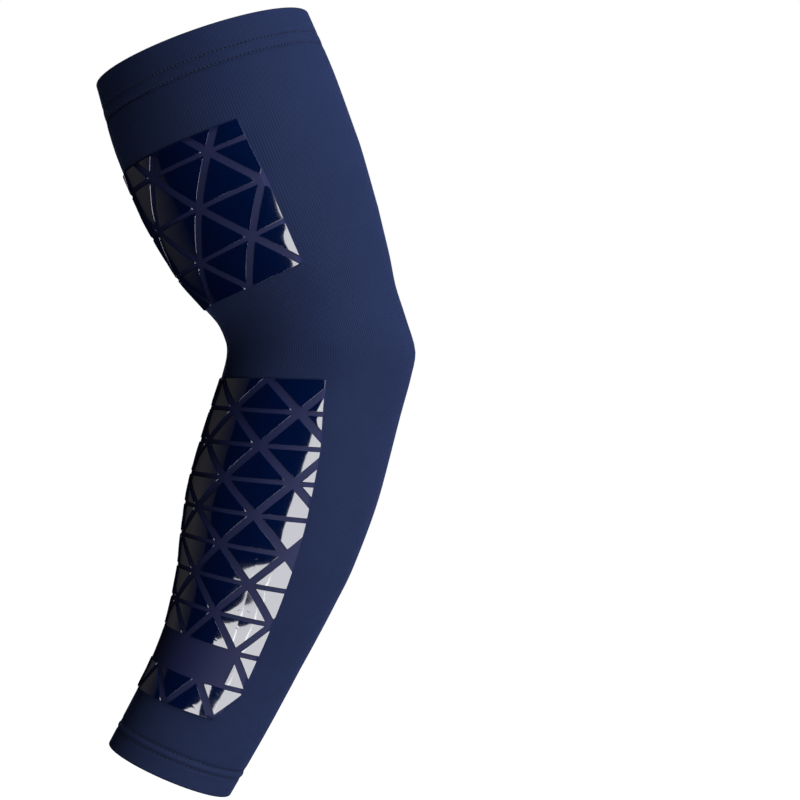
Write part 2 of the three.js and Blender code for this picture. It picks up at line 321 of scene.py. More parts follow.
def move_vertices(bm, place):
    """Moves every vertex to where place puts its x, y and z, taken as three arrays"""
    verts = bm.verts[:]
    flat = np.array([vert.co for vert in verts])
    for vert, point in zip(verts, place(flat[:, 0], flat[:, 1], flat[:, 2])):
        vert.co = point


def finished_piece(bm, name, materials, replaces=()):
    """Turns a bmesh into a smooth piece that rides on the part's body"""
    for face in bm.faces:
        face.smooth = True
    mesh = bpy.data.meshes.new(name)
    bm.to_mesh(mesh)
    bm.free()
    piece = bpy.data.objects.new(name, mesh)
    bpy.context.scene.collection.objects.link(piece)
    for material in materials:
        mesh.materials.append(material)
    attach(piece, BODY)
    if replaces:
        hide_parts(*replaces)
    return piece


def cloth_grid(segments_round, segments_along, width, length):
    """A flat grid of cloth from 0 to 1 both ways, with its real width and length kept in a UV map"""
    bm = bmesh.new()
    bmesh.ops.create_grid(bm, x_segments=segments_round, y_segments=segments_along, size=0.5)
    bmesh.ops.translate(bm, verts=bm.verts, vec=(0.5, 0.5, 0.0))
    knit_map = bm.loops.layers.uv.new(KNIT_MAP)
    for face in bm.faces:
        for loop in face.loops:
            loop[knit_map].uv = (loop.vert.co.x * width, loop.vert.co.y * length)
    return bm


# Material helpers

def set_inputs(tree, node, inputs):
    """Sets a node's inputs to numbers or colours, or links them to the outputs of other nodes"""
    for name, value in inputs.items():
        if isinstance(value, bpy.types.NodeSocket):
            tree.links.new(value, node.inputs[name])
        else:
            node.inputs[name].default_value = value


def add_node(tree, kind, inputs=None, **settings):
    """Adds a node with its inputs and its own settings"""
    node = tree.nodes.new(kind)
    for name, value in settings.items():
        setattr(node, name, value)
    set_inputs(tree, node, inputs or {})
    return node


def calculate(tree, operation, first, second=0.0):
    """A Math node's result"""
    return add_node(tree, "ShaderNodeMath", {0: first, 1: second}, operation=operation).outputs[0]


def mean(tree, first, second):
    """The value halfway between two values"""
    return calculate(tree, "MULTIPLY", calculate(tree, "ADD", first, second), 0.5)


def shaded(colour, share):
    """A darker colour: a share of a colour"""
    return tuple(share * part for part in colour)


def blend_colours(tree, share, first, second):
    """The colour between two colours at a share from 0 to 1"""
    inputs = {0: share, 6: (*first, 1.0), 7: (*second, 1.0)}
    return add_node(tree, "ShaderNodeMix", inputs, data_type="RGBA").outputs[2]


def object_place(tree):
    """Where a point lies on its piece, in the Object coordinates"""
    return add_node(tree, "ShaderNodeTexCoord").outputs["Object"]


def noise(tree, position, scale, detail):
    """A noise that comes scale times a metre, with some octaves of detail"""
    inputs = {"Vector": position, "Scale": scale, "Detail": detail}
    return add_node(tree, "ShaderNodeTexNoise", inputs).outputs["Fac"]


def new_material(name):
    """A new material with its Principled shader, and that shader's node tree"""
    material = bpy.data.materials.new(name)
    material.use_nodes = True
    tree = material.node_tree
    return material, tree, tree.nodes["Principled BSDF"]


def bump(tree, height, distance, strength):
    """A Bump node's normal"""
    inputs = {"Height": height, "Distance": distance, "Strength": strength}
    return add_node(tree, "ShaderNodeBump", inputs).outputs["Normal"]


# Materials

WALE_PITCH = 1.2 * MILLIMETRE
COURSE_PITCH = 0.9 * MILLIMETRE
# A whole number, so that the knit closes round the sleeve without a seam
WALES_ROUND = 250
# Heights of the courses' waves and of the loose fibres, as shares of a wale's height
WAVE_HEIGHT = 0.22
FIBRE_HEIGHT = 0.7


def knit_material(name, colours, roughness):
    """Fine stretch knit: wales down the sleeve, courses of small arches, loose fibres, a soft sheen and
    painted shade in the grooves between the wales
    """
    material, tree, shader = new_material(name)
    cloth = add_node(tree, "ShaderNodeUVMap", uv_map=KNIT_MAP).outputs["UV"]
    across = add_node(tree, "ShaderNodeSeparateXYZ", {"Vector": cloth})
    wale = calculate(tree, "FRACT", calculate(tree, "DIVIDE", across.outputs["X"], WALE_PITCH))
    from_middle = calculate(tree, "ABSOLUTE", calculate(tree, "SUBTRACT", wale, 0.5))
    course = calculate(tree, "DIVIDE", across.outputs["Y"], COURSE_PITCH)
    arch = calculate(tree, "ADD", course, from_middle)
    wave = calculate(tree, "SINE", calculate(tree, "MULTIPLY", arch, math.tau))
    rib = calculate(tree, "SUBTRACT", 1.0, calculate(tree, "MULTIPLY", from_middle, 2.0))
    loops = calculate(tree, "ADD", rib, calculate(tree, "MULTIPLY", wave, WAVE_HEIGHT))
    place = object_place(tree)
    fibres = noise(tree, place, scale=1500.0, detail=3.0)
    height = calculate(tree, "ADD", loops, calculate(tree, "MULTIPLY", fibres, FIBRE_HEIGHT))
    patches = noise(tree, place, scale=38.0, detail=3.0)
    # The base colour darkens where the loops sink between the wales (painted shade) and in random patches
    set_inputs(tree, shader, {
        "Base Color": blend_colours(tree, mean(tree, loops, patches), colours.knit_patches_and_painted_shade, colours.knit),
        "Roughness": roughness,
        "Specular IOR Level": 0.12,
        "Sheen Weight": 0.14,
        "Sheen Roughness": 0.45,
        "Sheen Tint": (0.25, 0.35, 0.9, 1.0),
        "Normal": bump(tree, height, distance=0.12 * MILLIMETRE, strength=0.55),
    })
    return material


def thread_material(colours):
    """Twisted sewing thread"""
    material, tree, shader = new_material("sewing_thread")
    place = object_place(tree)
    twist = noise(tree, place, scale=2600.0, detail=2.0)
    set_inputs(tree, shader, {
        "Base Color": blend_colours(tree, twist, shaded(colours.thread, 0.5), colours.thread),
        "Roughness": 0.7,
        "Sheen Weight": 0.15,
        "Normal": bump(tree, twist, distance=0.08 * MILLIMETRE, strength=0.6),
    })
    return material


def needle_hole_painted_shade_material(colours):
    """Painted shade inside a needle hole: a near-black finish on the bead that stands where the hole's shadow
    falls
    """
    material, tree, shader = new_material("needle_hole")
    place = object_place(tree)
    fibres = noise(tree, place, scale=2200.0, detail=2.0)
    # The painted shade in the hole varies at random between this darkest colour and the hole's colour
    deepest_painted_shade = shaded(colours.needle_hole, 0.4)
    set_inputs(tree, shader, {
        "Base Color": blend_colours(tree, fibres, deepest_painted_shade, colours.needle_hole),
        "Roughness": 0.95,
        "Specular IOR Level": 0.05,
    })
    return material


def film_material(colours):
    """Matte printed film with a fine grain"""
    material, tree, shader = new_material("matte_film")
    place = object_place(tree)
    grain = noise(tree, place, scale=1400.0, detail=3.0)
    patches = noise(tree, place, scale=60.0, detail=2.0)
    dark = shaded(colours.film, 0.85)
    set_inputs(tree, shader, {
        "Base Color": blend_colours(tree, mean(tree, grain, patches), dark, colours.film),
        "Roughness": 0.62,
        "Specular IOR Level": 0.18,
        "Normal": bump(tree, grain, distance=0.06 * MILLIMETRE, strength=0.5),
    })
    return material


def gloss_material(colours):
    """Thick clear gloss over deep navy, with the faint unevenness of a poured surface"""
    material, tree, shader = new_material("gloss_cells")
    place = object_place(tree)
    depth = noise(tree, place, scale=70.0, detail=3.0)
    swell = noise(tree, place, scale=60.0, detail=0.0)
    wear = noise(tree, place, scale=500.0, detail=4.0)
    roughness = calculate(tree, "ADD", 0.05, calculate(tree, "MULTIPLY", wear, 0.05))
    set_inputs(tree, shader, {
        "Base Color": blend_colours(tree, depth, colours.gloss_shade, colours.gloss),
        "Roughness": roughness,
        "IOR": 1.6,
        "Specular IOR Level": 0.9,
        "Coat Weight": 1.0,
        "Coat Roughness": 0.03,
        "Coat IOR": 1.7,
        "Normal": bump(tree, swell, distance=0.5 * MILLIMETRE, strength=0.08),
    })
    return material


# Hems

class HemRow(NamedTuple):
    """A row of stitches round a hem: its distance from the rim and how deep its groove is, as a share"""

    from_rim: float
    groove: float


UPPER_HEM_ROWS = (HemRow(0.0135, 0.8), HemRow(0.0193, 1.0))
WRIST_HEM_ROWS = (HemRow(0.0105, 1.1), HemRow(0.0144, 1.0))
# How far the knit swells between the two rows
UPPER_HEM_RIDGE = 0.1 * MILLIMETRE
WRIST_HEM_RIDGE = 0.35 * MILLIMETRE
OUTSIDE_STEPS = 64
FOLD_STEPS = 10
INSIDE_STEPS = 6


def groove_at(from_rim, rows, stitches):
    """How far the rows of stitches pull the cloth in at a distance from the rim"""
    depth = 0.0
    for row in rows:
        beside = (from_rim - row.from_rim) / stitches.groove_width
        depth += row.groove * stitches.groove_depth * math.exp(-(beside**2))
    return depth


def hem_outline(depth, wall, rows, ridge, stitches):
    """The closed cross-section of a hem, as distances from the rim and heights above the cloth's face"""
    fold = wall / 2
    stations = []
    between = (rows[0].from_rim + rows[1].from_rim) / 2
    spread = (rows[1].from_rim - rows[0].from_rim) / 3
    for step in range(OUTSIDE_STEPS):
        from_rim = depth + (fold - depth) * step / OUTSIDE_STEPS
        swell = ridge * math.exp(-(((from_rim - between) / spread) ** 2))
        stations.append((from_rim, swell - groove_at(from_rim, rows, stitches)))
    for step in range(FOLD_STEPS + 1):
        turn = math.pi * (0.5 - step / FOLD_STEPS)
        stations.append((fold * (1 - math.cos(turn)), fold * (math.sin(turn) - 1)))
    for step in range(1, INSIDE_STEPS + 1):
        stations.append((fold + (depth - fold) * step / INSIDE_STEPS, -wall))
    return stations


HEM_SEGMENTS = 240


def hem_band(form, stations, from_wrist, width):
    """A hem's outline led once round the sleeve, closed both ways"""
    bm = cloth_grid(HEM_SEGMENTS, len(stations), width, 1.0)
    loop_stations = np.array([*stations, stations[0]])
    count = len(stations)
    knit_map = bm.loops.layers.uv[KNIT_MAP]
    for face in bm.faces:
        for loop in face.loops:
            station = loop_stations[round(loop.vert.co.y * count)]
            loop[knit_map].uv.y = station[0]

    def place(x, y, _):
        station = loop_stations[np.rint(y * count).astype(int)]
        along = form.length - station[:, 0] if from_wrist else station[:, 0]
        return form.points(along, x * math.tau - math.pi, station[:, 1])

    move_vertices(bm, place)
    bmesh.ops.remove_doubles(bm, verts=bm.verts, dist=SAME_PLACE)
    bmesh.ops.recalc_face_normals(bm, faces=bm.faces)
    return bm


class SLEEVE_OT_hems(bpy.types.Operator):
    """Builds the doubled hems at the upper opening and at the wrist"""

    bl_idname = "arm_sleeve.hems"
    bl_label = "Hems"

    def execute(self, context):
        scene = context.scene
        sizes, stitches = scene.sleeve_sizes, scene.stitch_sizes
        form = sleeve_form()
        finish = knit_material("hem_knit", scene.cloth_colours, 0.88)
        upper = hem_outline(sizes.upper_hem_depth, sizes.hem_wall, UPPER_HEM_ROWS, UPPER_HEM_RIDGE, stitches)
        wrist = hem_outline(sizes.wrist_hem_depth, sizes.hem_wall, WRIST_HEM_ROWS, WRIST_HEM_RIDGE, stitches)
        width = WALES_ROUND * WALE_PITCH
        finished_piece(
            hem_band(form, upper, False, width), "upper_hem_band", [finish], ["upper_hem"]
        )
        finished_piece(
            hem_band(form, wrist, True, width), "wrist_hem_band", [finish], ["wrist_hem"]
        )
        return {"FINISHED"}


# Hem stitches

# Half sizes of a stitch, as shares of the gap between two needle holes and of the thread
STITCH_HALF_LENGTH = 0.62
THREAD_HALF_HEIGHT = 0.45
THREAD_RISE = 0.05 * MILLIMETRE
# Half sizes of a needle hole along the row's side and into the knit, as shares of its half width
HOLE_TALL = 0.9
HOLE_DEEP = 0.3
HOLE_SINK = 0.02 * MILLIMETRE


def skin_frame(form, along, angle, height, half_sizes):
    """A matrix that lays a small shape on the cloth: its x round the sleeve, y down it and z off it"""
    step = 0.0005
    turn = step / form.radius(along)
    alongs = np.array((along, along, along + step))
    angles = np.array((angle, angle + turn, angle))
    here, beside, below = (Vector(p) for p in form.points(alongs, angles, np.full(3, height)))
    x = (beside - here).normalized()
    z = x.cross(below - here).normalized()
    y = z.cross(x)
    rotation = Matrix((x, y, z)).transposed().to_4x4()
    return Matrix.Translation(here) @ rotation @ Matrix.Diagonal((*half_sizes, 1.0))


def add_bead(row_mesh, scratch, matrix, material_index):
    """Adds one small rounded bead to a row"""
    bead = bmesh.new()
    bmesh.ops.create_uvsphere(bead, u_segments=8, v_segments=5, radius=1.0, matrix=matrix)
    for face in bead.faces:
        face.material_index = material_index
    bead.to_mesh(scratch)
    bead.free()
    row_mesh.from_mesh(scratch)


def stitch_row(form, row, from_wrist, stitches):
    """One row of thread stitches with a needle hole between each two, each hole a near-black bead of painted
    shade
    """
    row_mesh = bmesh.new()
    scratch = bpy.data.meshes.new("bead")
    along = form.length - row.from_rim if from_wrist else row.from_rim
    count = round(math.tau * form.radius(along) / stitches.pitch)
    sunk = -row.groove * stitches.groove_depth
    thread = stitches.thread
    gap = stitches.pitch - stitches.needle_hole
    thread_half = (gap * STITCH_HALF_LENGTH, thread / 2, thread * THREAD_HALF_HEIGHT)
    hole = stitches.needle_hole / 2
    hole_half = (hole, hole * HOLE_TALL, hole * HOLE_DEEP)
    for stitch in range(count):
        angle = math.tau * stitch / count
        at_thread = skin_frame(form, along, angle, sunk + THREAD_RISE, thread_half)
        add_bead(row_mesh, scratch, at_thread, 0)
        # The needle hole is a near-black bead sunk into the groove: painted shade for the shadow inside the
        # hole
        between = math.tau * (stitch + 0.5) / count
        at_hole = skin_frame(form, along, between, sunk - HOLE_SINK, hole_half)
        add_bead(row_mesh, scratch, at_hole, 1)
    bpy.data.meshes.remove(scratch)
    return row_mesh


class SLEEVE_OT_stitches(bpy.types.Operator):
    """Sews two rows of stitches round each hem"""

    bl_idname = "arm_sleeve.stitches"
    bl_label = "Hem Stitches"

    def execute(self, context):
        scene = context.scene
        form = sleeve_form()
        bm = bmesh.new()
        scratch = bpy.data.meshes.new("row")
        for rows, from_wrist in ((UPPER_HEM_ROWS, False), (WRIST_HEM_ROWS, True)):
            for row in rows:
                row_mesh = stitch_row(form, row, from_wrist, scene.stitch_sizes)
                row_mesh.to_mesh(scratch)
                row_mesh.free()
                bm.from_mesh(scratch)
        bpy.data.meshes.remove(scratch)
        colours = scene.cloth_colours
        materials = [thread_material(colours), needle_hole_painted_shade_material(colours)]
        finished_piece(bm, "hem_stitches", materials)
        return {"FINISHED"}


# Knitted tube

TUBE_SEGMENTS_ROUND = 144
TUBE_SEGMENTS_ALONG = 168
HEM_GAP = 0.05 * MILLIMETRE
HEM_TUCK = 1.6 * MILLIMETRE
LAST_ROW_INSIDE = 0.6 * MILLIMETRE
ROW_EASING = 0.09


class SLEEVE_OT_tube(bpy.types.Operator):
    """Wraps the flat cut of the knit round the arm and closes it to the knitted tube"""

    bl_idname = "arm_sleeve.tube"
    bl_label = "Knitted Tube"

    def execute(self, context):
        scene = context.scene
        sizes, stitches = scene.sleeve_sizes, scene.stitch_sizes
        form = sleeve_form()
        start = sizes.upper_hem_depth + HEM_GAP
        end = form.length - sizes.wrist_hem_depth - HEM_GAP
        bm = cloth_grid(TUBE_SEGMENTS_ROUND, TUBE_SEGMENTS_ALONG, WALES_ROUND * WALE_PITCH, end - start)

        def place(x, y, _):
            # the rows lie closer together near the hems, where the cloth dips under the stitches
            eased = y - ROW_EASING * np.sin(math.tau * y)
            along = start + (end - start) * eased
            from_hem = np.minimum(along - start, end - along)
            dip = -stitches.groove_depth * np.exp(-((from_hem + LAST_ROW_INSIDE) / HEM_TUCK) ** 2)
            return form.points(along, x * math.tau - math.pi, dip)

        move_vertices(bm, place)
        bmesh.ops.remove_doubles(bm, verts=bm.verts, dist=SAME_PLACE)
        bmesh.ops.recalc_face_normals(bm, faces=bm.faces)
        finish = knit_material("fine_knit", scene.cloth_colours, 0.9)
        tube = finished_piece(bm, "sleeve_cloth", [finish], ["upper_arm_tube", "forearm_tube"])
        wall = tube.modifiers.new("cloth_wall", "SOLIDIFY")
        wall.thickness = sizes.cloth_wall
        wall.offset = -1.0
        return {"FINISHED"}


# Grip panels

class EdgePoint(NamedTuple):
    """A corner of a panel's outline: share of the panel's length down it, and share of its widest reach"""

    down: float
    reach: float


class Panel(NamedTuple):
    """One grip panel.

    below and above are its distances from the upper rim or the elbow, and from the elbow or the wrist hem.
    reach is how far it goes round the arm to either side of the inner line, and side and pitch are a cell's
    side round the arm and its height along it. Each row of the lattice is moved round by row_shift cell
    sides, first_node is where the first row's node lies, first_row is that row's place in row heights, and
    fan is the share by which the rows close up towards the panel's sides. bare_row is the row that stays
    bare, counted from the bottom, and 0 where every row has its cells.
    """

    name: str
    node: str
    below: float
    above: float
    reach: float
    side: float
    pitch: float
    row_shift: float
    first_node: float
    first_row: float
    fan: float
    bare_row: int
    edge: tuple


UPPER_PANEL = Panel(
    name="upper_panel",
    node="upper_grip_panel",
    below=0.0483,
    above=0.037,
    reach=math.radians(95.0),
    side=math.radians(34.5),
    pitch=0.024,
    row_shift=-0.46,
    first_node=1.145,
    first_row=0.45,
    fan=0.085,
    bare_row=0,
    edge=(EdgePoint(0.0, 0.97), EdgePoint(0.45, 1.0), EdgePoint(1.0, 1.0)),
)
FOREARM_PANEL = Panel(
    name="forearm_panel",
    node="forearm_grip_panel",
    below=0.015,
    above=0.02,
    reach=math.radians(111.0),
    side=math.radians(42.5),
    pitch=0.018,
    row_shift=-0.41,
    first_node=1.41,
    first_row=0.0,
    fan=0.015,
    bare_row=2,
    edge=(
        EdgePoint(0.0, 0.85),
        EdgePoint(0.2, 0.93),
        EdgePoint(0.42, 0.965),
        EdgePoint(0.92, 1.0),
        EdgePoint(1.0, 0.89),
    ),
)
BARE_REACH = math.radians(94.0)
SMALLEST_CELL = 5e-6
EDGE_CUTS = 8
SHOULDER_RINGS = (0.5, 0.85, 1.0)
FACE_RINGS = (0.008, 0.1, 0.22, 0.36, 0.52, 0.72)
UNDERSIDE_RINGS = (0.35, 0.7)
WALL_SHARE = 0.45
CROWN_REACH = 2.2
WIDEST_SHOULDER = 0.5
CELL_SINK = 0.02 * MILLIMETRE
CLOSE = 0.25 * MILLIMETRE
LEVEL = 1e-6
LIFT = 1.0
FILM_STEP = 0.003


def outward_from(middle, start, end):
    """The direction in the flat that is square to a side and leads away from a middle"""
    along = (end - start).normalized()
    outward = Vector((along.y, -along.x, 0.0))
    if outward.dot(middle - start) > 0:
        outward.negate()
    return outward


class FlatPanel:
    """A panel as it lies flat: x runs round the arm from the inner line and y down from its top edge"""

    def __init__(self, panel, form, sizes):
        self.panel = panel
        self.form = form
        if panel.bare_row:
            self.start = form.elbow + panel.below
            end = form.length - sizes.wrist_hem_depth - panel.above
        else:
            self.start = panel.below
            end = form.elbow - panel.above
        self.length = end - self.start
        self.radius = form.radius((self.start + end) / 2)
        self.widest = panel.reach * self.radius
        self.side = panel.side * self.radius
        self.rows = max(1, round(self.length / panel.pitch - panel.first_row))
        self.row_height = self.length / (self.rows + panel.first_row)

    def outline(self):
        """The corners, down one side and up the other"""
        size = Vector((self.widest, self.length, 0.0))
        right = [Vector((point.reach * size.x, point.down * size.y, 0.0)) for point in self.panel.edge]
        left = [Vector((-corner.x, corner.y, 0.0)) for corner in reversed(right)]
        return right + left

    def outline_cuts(self, margin):
        """The outline's sides as cuts: a point on each, moved in by a margin, and its outward direction"""
        corners = self.outline()
        middle = Vector((0.0, self.length / 2, 0.0))
        cuts = []
        for corner, following in zip(corners, corners[1:] + corners[:1]):
            outward = outward_from(middle, corner, following)
            cuts.append((corner - outward * margin, outward))
        return cuts

    def node(self, row, k):
        panel = self.panel
        across = panel.first_node + k + row * panel.row_shift
        return Vector((across * self.side, (panel.first_row + row) * self.row_height, 0.0))

    def triangles(self):
        """The lattice's triangles, with the row that each lies in"""
        first = -1 if self.panel.first_row > 0 else 0
        reach = math.ceil(self.widest / self.side) + self.rows + 1
        for row in range(first, self.rows):
            for k in range(-reach, reach + 1):
                here, below = self.node(row, k), self.node(row + 1, k + 1)
                yield row, (here, below, self.node(row + 1, k))
                yield row, (here, self.node(row, k + 1), below)

    def wrapped(self, x, y, z):
        """Where flat points lie on the arm"""
        closing = 1 - self.panel.fan * (x / self.widest) ** 2
        return self.form.points(self.start + y * closing, x / self.radius, z)


def cut_to(bm, cuts):
    """Keeps what lies inside of all the cuts"""
    for point, outward in cuts:
        geometry = [*bm.verts, *bm.edges, *bm.faces]
        bmesh.ops.bisect_plane(bm, geom=geometry, plane_co=point, plane_no=outward, clear_outer=True)


def channel_cuts(flat, corners, sizes):
    """A lattice triangle's sides as cuts, moved in by half a channel except along the panel's own edge"""
    middle = sum(corners, Vector()) / 3
    cuts = []
    for corner, following in zip(corners, corners[1:] + corners[:1]):
        outward = outward_from(middle, corner, following)
        level = abs(outward.x) < LEVEL
        channel = sizes.level_channel if level else sizes.slant_channel
        if level and not CLOSE < corner.y < flat.length - CLOSE:
            channel = 0.0
        cuts.append((corner - outward * channel / 2, outward))
    return cuts


def cell_sides(face, middle):
    """A flat cell's sides: where each begins, its outward direction and how far the middle is from it"""
    sides = []
    for edge in face.edges:
        start, end = (vert.co.copy() for vert in edge.verts)
        outward = outward_from(middle, start, end)
        sides.append((start, outward, outward.dot(start - middle)))
    return sides


def pillow_height(x, y, sides, sizes):
    """Height of a cell's face above the film: a short wall, a narrow bevel and a low crown inside"""
    shoulder = np.ones_like(x)
    crown = np.ones_like(x)
    for point, outward, reach in sides:
        inside = np.maximum(0.0, (point.x - x) * outward.x + (point.y - y) * outward.y)
        shoulder *= np.clip(inside / min(sizes.shoulder, reach), 0.0, 1.0)
        far = np.clip(inside / (reach * CROWN_REACH), 0.0, 1.0)
        crown *= 1.0 - (1.0 - far) ** 2
    return sizes.cell_height * (WALL_SHARE + (1 - WALL_SHARE) * shoulder) + sizes.cell_crown * crown


def drawn_in(bm, face, middle, rings):
    """Draws a face in towards its middle ring by ring, each at a share of the way, and closes it there"""
    centred = Matrix.Translation(-middle)
    left = 1.0
    for share in rings:
        grown = bmesh.ops.extrude_face_region(bm, geom=[face], use_keep_orig=True)["geom"]
        bmesh.ops.delete(bm, geom=[face], context="FACES_ONLY")
        verts = [item for item in grown if isinstance(item, bmesh.types.BMVert)]
        face = next(item for item in grown if isinstance(item, bmesh.types.BMFace))
        scale = (1.0 - share) / left
        bmesh.ops.scale(bm, verts=verts, vec=(scale, scale, 1.0), space=centred)
        left = 1.0 - share
    bmesh.ops.poke(bm, faces=[face])


def raised_cell(flat, corners, cuts, sizes):
    """One cell: a lattice triangle cut to shape, drawn into rings, raised to a pillow and wrapped"""
    bm = bmesh.new()
    bm.faces.new([bm.verts.new(corner) for corner in corners])
    cut_to(bm, channel_cuts(flat, corners, sizes) + cuts)
    bmesh.ops.remove_doubles(bm, verts=bm.verts, dist=CLOSE)
    bm.faces.ensure_lookup_table()
    if not bm.faces or bm.faces[0].calc_area() < SMALLEST_CELL:
        bm.free()
        return None
    middle = bm.faces[0].calc_center_median_weighted()
    sides = cell_sides(bm.faces[0], middle)
    bmesh.ops.bisect_edges(bm, edges=bm.edges[:], cuts=EDGE_CUTS)
    bm.faces.ensure_lookup_table()
    under = bm.faces[0]
    outline = [under, *under.edges, *under.verts]
    raised = bmesh.ops.extrude_face_region(bm, geom=outline, use_keep_orig=True)["geom"]
    top = next(item for item in raised if isinstance(item, bmesh.types.BMFace))
    bmesh.ops.translate(bm, verts=top.verts[:], vec=(0.0, 0.0, LIFT))
    shoulder = min(sizes.shoulder / min(reach for _, _, reach in sides), WIDEST_SHOULDER)
    rings = [shoulder * ring for ring in SHOULDER_RINGS]
    rings += [shoulder + (1 - shoulder) * ring for ring in FACE_RINGS]
    drawn_in(bm, top, middle, rings)
    drawn_in(bm, under, middle, UNDERSIDE_RINGS)
    upper = [vert for vert in bm.verts if vert.co.z > LIFT / 2]
    x = np.array([vert.co.x for vert in upper])
    y = np.array([vert.co.y for vert in upper])
    for vert, height in zip(upper, pillow_height(x, y, sides, sizes)):
        vert.co.z = height
    bmesh.ops.translate(bm, verts=bm.verts, vec=(0.0, 0.0, sizes.film_height - CELL_SINK))
    move_vertices(bm, flat.wrapped)
    bmesh.ops.recalc_face_normals(bm, faces=bm.faces)
    return bm


def panel_cells(flat, sizes):
    """All the raised cells of a panel. In the bare row they are kept only past the bare band's ends."""
    cells = bmesh.new()
    outline = flat.outline_cuts(sizes.film_margin)
    band_end = Vector((BARE_REACH * flat.radius, 0.0, 0.0))
    past_band = [outline + [(end, -end.normalized())] for end in (band_end, -band_end)]
    scratch = bpy.data.meshes.new("cell")
    bare_row = flat.rows - flat.panel.bare_row if flat.panel.bare_row else None
    for row, corners in flat.triangles():
        for cuts in past_band if row == bare_row else [outline]:
            cell = raised_cell(flat, corners, cuts, sizes)
            if cell is None:
                continue
            cell.to_mesh(scratch)
            cell.free()
            cells.from_mesh(scratch)
    bpy.data.meshes.remove(scratch)
    return cells


def panel_film(flat, sizes):
    """The film under a panel's cells: a flat sheet cut to the outline, given its thickness and wrapped"""
    bm = bmesh.new()
    segments = (round(2 * flat.widest / FILM_STEP), round(flat.length / FILM_STEP))
    bmesh.ops.create_grid(bm, x_segments=segments[0], y_segments=segments[1], size=0.5)
    bmesh.ops.translate(bm, verts=bm.verts, vec=(0.0, 0.5, 0.0))
    bmesh.ops.scale(bm, verts=bm.verts, vec=(2 * flat.widest, flat.length, 1.0))
    cut_to(bm, flat.outline_cuts(0.0))
    bottom = sizes.film_height - sizes.film_thickness
    raised = bmesh.ops.extrude_face_region(bm, geom=bm.faces[:], use_keep_orig=True)["geom"]
    top = [item for item in raised if isinstance(item, bmesh.types.BMVert)]
    bmesh.ops.translate(bm, verts=top, vec=(0.0, 0.0, sizes.film_thickness))
    bmesh.ops.translate(bm, verts=bm.verts, vec=(0.0, 0.0, bottom))
    move_vertices(bm, flat.wrapped)
    bmesh.ops.recalc_face_normals(bm, faces=bm.faces)
    return bm


class SLEEVE_OT_grip_panels(bpy.types.Operator):
    """Lays the two grip panels on the cloth: a matte film each, with its glossy raised cells"""

    bl_idname = "arm_sleeve.grip_panels"
    bl_label = "Grip Panels"

    def execute(self, context):
        scene = context.scene
        form = sleeve_form()
        film = film_material(scene.cloth_colours)
        gloss = gloss_material(scene.cloth_colours)
        for panel in (UPPER_PANEL, FOREARM_PANEL):
            flat = FlatPanel(panel, form, scene.sleeve_sizes)
            sheet = panel_film(flat, scene.panel_sizes)
            finished_piece(sheet, f"{panel.name}_film", [film], replaces=[panel.node])
            cells = panel_cells(flat, scene.panel_sizes)
            finished_piece(cells, f"{panel.name}_cells", [gloss], [panel.node])
        return {"FINISHED"}


# Stage

CAMERA_PLACE = (0.029, -0.895, -0.182)
FLOOR_PLACE = (0.0, 9.2, -0.9)
FLOOR_HALF_SIDE = 8.0
SLEEVE_MIDDLE = (0.03, 0.0, -0.2)
WARM_WHITE = (1.0, 0.99, 0.98)
COOL_WHITE = (0.97, 0.97, 1.0)


class StudioLight(NamedTuple):
    """An area light: where it stands, where it points, its size, and how far it is turned about its own beam.

    spread is the angle of its beam. on_cloth and on_gloss say whether it lights matte surfaces and whether it
    shows in glossy ones.
    """

    name: str
    place: tuple
    aim: tuple
    width: float
    tall: float
    colour: tuple
    lean: float = 0.0
    spread: float = math.pi
    on_cloth: bool = False
    on_gloss: bool = False


MAIN_LIGHT = StudioLight(
    name="main_light",
    place=(1.115, -0.58, 0.67),
    aim=SLEEVE_MIDDLE,
    width=1.2,
    tall=1.2,
    colour=WARM_WHITE,
    on_cloth=True,
)
FILL_LIGHT = StudioLight(
    name="fill_light",
    place=(0.5, -1.32, -0.7),
    aim=SLEEVE_MIDDLE,
    width=1.0,
    tall=1.0,
    colour=(0.9, 0.95, 1.0),
    on_cloth=True,
)
BACK_LIGHT = StudioLight(
    name="back_light",
    place=(0.0, 1.2, 0.0),
    aim=SLEEVE_MIDDLE,
    width=1.0,
    tall=1.0,
    colour=WARM_WHITE,
    on_cloth=True,
)
TALL_CARD = StudioLight(
    name="tall_card",
    place=(0.576, -0.943, -0.43),
    aim=(0.03, 0.0, -0.25),
    width=0.79,
    tall=1.5,
    colour=COOL_WHITE,
    lean=math.radians(-15.0),
    on_gloss=True,
)
LOW_CARD = StudioLight(
    name="low_card",
    place=(-0.03, -0.4, -0.57),
    aim=(0.0, 0.0, -0.31),
    width=0.15,
    tall=0.26,
    colour=COOL_WHITE,
    lean=math.radians(-10.0),
    on_gloss=True,
)
FRONT_STRIP = StudioLight(
    name="front_strip",
    place=(-0.078, -0.24, -0.385),
    aim=(-0.03, 0.0, -0.365),
    width=0.095,
    tall=0.055,
    colour=COOL_WHITE,
    on_gloss=True,
)
LEFT_CARD = StudioLight(
    name="left_card",
    place=(-1.0, 0.35, -0.15),
    aim=(0.0, 0.0, -0.2),
    width=1.3,
    tall=1.6,
    colour=(1.0, 0.92, 0.88),
    spread=math.radians(84.0),
    on_gloss=True,
)


